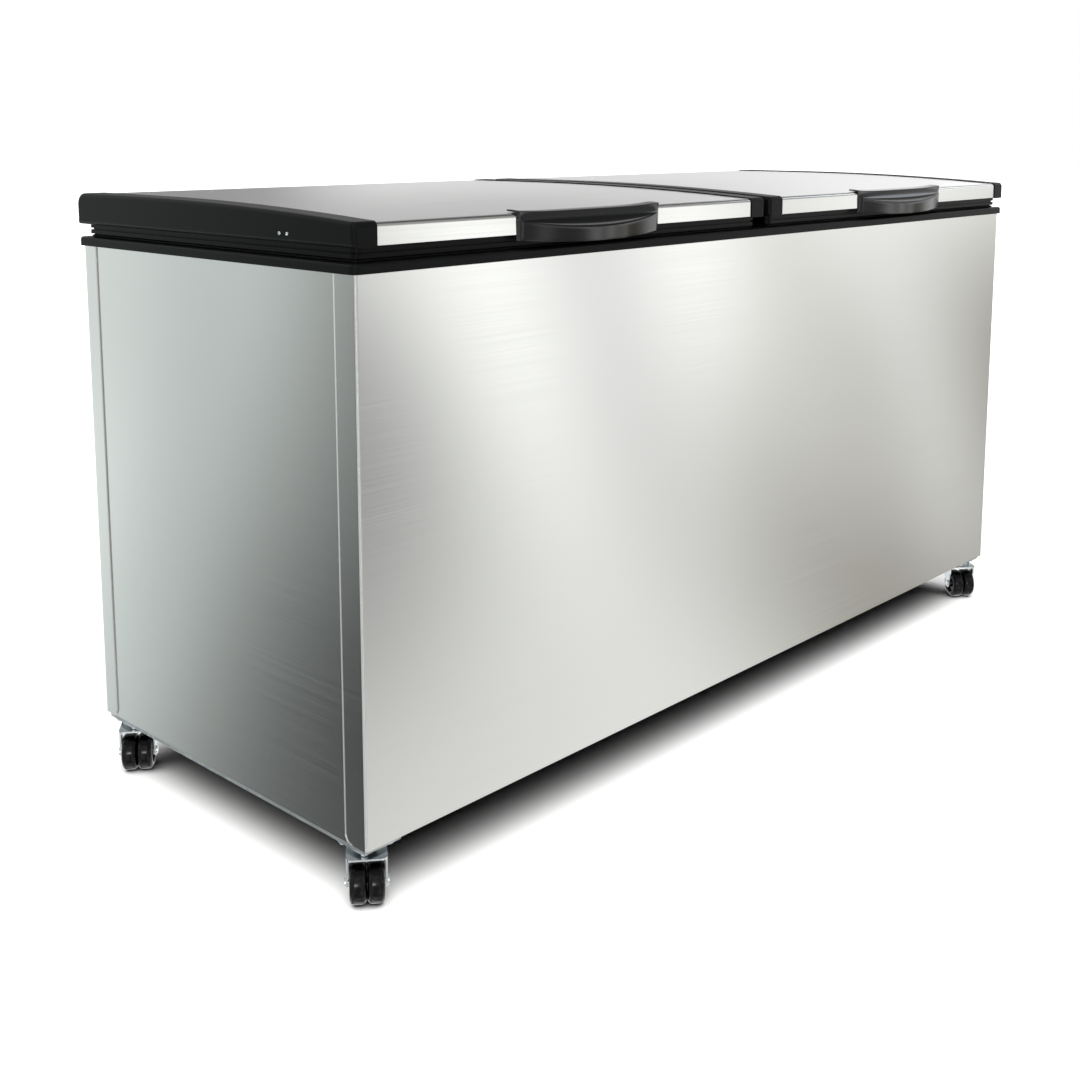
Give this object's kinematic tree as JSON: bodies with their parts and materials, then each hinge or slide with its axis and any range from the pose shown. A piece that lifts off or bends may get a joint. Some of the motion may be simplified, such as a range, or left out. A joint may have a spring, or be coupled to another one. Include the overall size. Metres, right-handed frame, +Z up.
{
  "type": "chest freezer",
  "caption": "Horizontal chest freezer in brushed stainless steel with side-by-side hinged lids, black rim and pull handles, on swivel castors.",
  "frame": {"origin": "on the floor under the middle of the bounding box", "axes": "+X to the right seen from the front, +Y to the back, +Z up"},
  "size_m": [1.8478, 0.7344, 0.955],
  "materials": {
    "stainless_steel": "satin",
    "galvanised_steel": "satin",
    "zinc_plated_steel": "satin",
    "black_nylon": "satin",
    "white_enamelled_aluminium": "satin",
    "white_plastic": "satin",
    "foam": "matte",
    "gloss_black_plastic": "gloss",
    "seal_rubber": "matte",
    "black_plastic": "satin",
    "copper": "satin",
    "black_enamelled_steel": "gloss",
    "green_lens": "gloss"
  },
  "bodies": {
    "cabinet": {"front_panel": "stainless_steel", "rear_panel": "stainless_steel", "left_side_panel": "stainless_steel", "right_side_panel": "stainless_steel", "base_pan": "galvanised_steel", "base_rails": "galvanised_steel", "inner_liner": "white_enamelled_aluminium", "evaporator_coil": "copper", "condenser_coil": "copper", "cabinet_insulation": "foam", "top_rim": "black_plastic", "centre_bar": "black_plastic", "compressor_tray": "galvanised_steel", "compressor_grommets": "seal_rubber", "compressor": "black_enamelled_steel", "compressor_relay_cover": "black_plastic", "filter_drier": "copper", "refrigerant_pipes": "copper", "machine_grille": "black_plastic", "power_lamp": "green_lens", "thermostat": "white_plastic", "cord_gland": "black_plastic", "hinge_bases": "galvanised_steel", "hinge_pins": "zinc_plated_steel", "panel_screws": "zinc_plated_steel", "castor_plates": "zinc_plated_steel"},
    "thermostat_knob": {"thermostat_knob": "black_plastic"},
    "left_lid": {"left_lid_outer_cap": "black_plastic", "left_lid_inner_cap": "black_plastic", "left_lid_skin": "stainless_steel", "left_lid_frame": "black_plastic", "left_lid_gasket": "seal_rubber", "left_lid_inner_panel": "white_plastic", "left_lid_insulation": "foam", "left_lid_handle": "gloss_black_plastic", "left_lid_hinge_leaves": "galvanised_steel", "left_lid_screws": "zinc_plated_steel"},
    "right_lid": {"right_lid_outer_cap": "black_plastic", "right_lid_inner_cap": "black_plastic", "right_lid_skin": "stainless_steel", "right_lid_frame": "black_plastic", "right_lid_gasket": "seal_rubber", "right_lid_inner_panel": "white_plastic", "right_lid_insulation": "foam", "right_lid_handle": "gloss_black_plastic", "right_lid_hinge_leaves": "galvanised_steel", "right_lid_screws": "zinc_plated_steel"},
    "castor_front_left": {"castor_fork_front_left": "zinc_plated_steel", "castor_axle_front_left": "zinc_plated_steel"},
    "wheels_front_left": {"castor_wheels_front_left": "black_nylon"},
    "castor_front_right": {"castor_fork_front_right": "zinc_plated_steel", "castor_axle_front_right": "zinc_plated_steel"},
    "wheels_front_right": {"castor_wheels_front_right": "black_nylon"},
    "castor_rear_left": {"castor_fork_rear_left": "zinc_plated_steel", "castor_axle_rear_left": "zinc_plated_steel"},
    "wheels_rear_left": {"castor_wheels_rear_left": "black_nylon"},
    "castor_rear_right": {"castor_fork_rear_right": "zinc_plated_steel", "castor_axle_rear_right": "zinc_plated_steel"},
    "wheels_rear_right": {"castor_wheels_rear_right": "black_nylon"}
  },
  "joints": [
    {"name": "left_lid_hinge", "type": "hinge", "parent": "cabinet", "child": "left_lid", "pos_m": [-0.462, 0.36025, 0.898], "axis": [-1, 0, 0], "range_deg": [0, 85]},
    {"name": "right_lid_hinge", "type": "hinge", "parent": "cabinet", "child": "right_lid", "pos_m": [0.462, 0.36025, 0.898], "axis": [-1, 0, 0], "range_deg": [0, 85]},
    {"name": "thermostat_turn", "type": "hinge", "parent": "cabinet", "child": "thermostat_knob", "pos_m": [0.905, 0.12325, 0.259], "axis": [1, 0, 0], "range_deg": [0, 270]},
    {"name": "front_left_swivel", "type": "hinge", "parent": "cabinet", "child": "castor_front_left", "pos_m": [-0.874, -0.29075, 0.071], "axis": [0, 0, 1], "continuous": true},
    {"name": "front_left_roll", "type": "hinge", "parent": "castor_front_left", "child": "wheels_front_left", "pos_m": [-0.8891, -0.3094, 0.03], "axis": [0.7771, -0.6293, 0], "continuous": true},
    {"name": "front_right_swivel", "type": "hinge", "parent": "cabinet", "child": "castor_front_right", "pos_m": [0.874, -0.29075, 0.071], "axis": [0, 0, 1], "continuous": true},
    {"name": "front_right_roll", "type": "hinge", "parent": "castor_front_right", "child": "wheels_front_right", "pos_m": [0.8589, -0.3094, 0.03], "axis": [0.7771, -0.6293, 0], "continuous": true},
    {"name": "rear_left_swivel", "type": "hinge", "parent": "cabinet", "child": "castor_rear_left", "pos_m": [-0.874, 0.30125, 0.071], "axis": [0, 0, 1], "continuous": true},
    {"name": "rear_left_roll", "type": "hinge", "parent": "castor_rear_left", "child": "wheels_rear_left", "pos_m": [-0.8891, 0.2826, 0.03], "axis": [0.7771, -0.6293, 0], "continuous": true},
    {"name": "rear_right_swivel", "type": "hinge", "parent": "cabinet", "child": "castor_rear_right", "pos_m": [0.874, 0.30125, 0.071], "axis": [0, 0, 1], "continuous": true},
    {"name": "rear_right_roll", "type": "hinge", "parent": "castor_rear_right", "child": "wheels_rear_right", "pos_m": [0.8891, 0.3199, 0.03], "axis": [-0.7771, 0.6293, 0], "continuous": true}
  ]
}
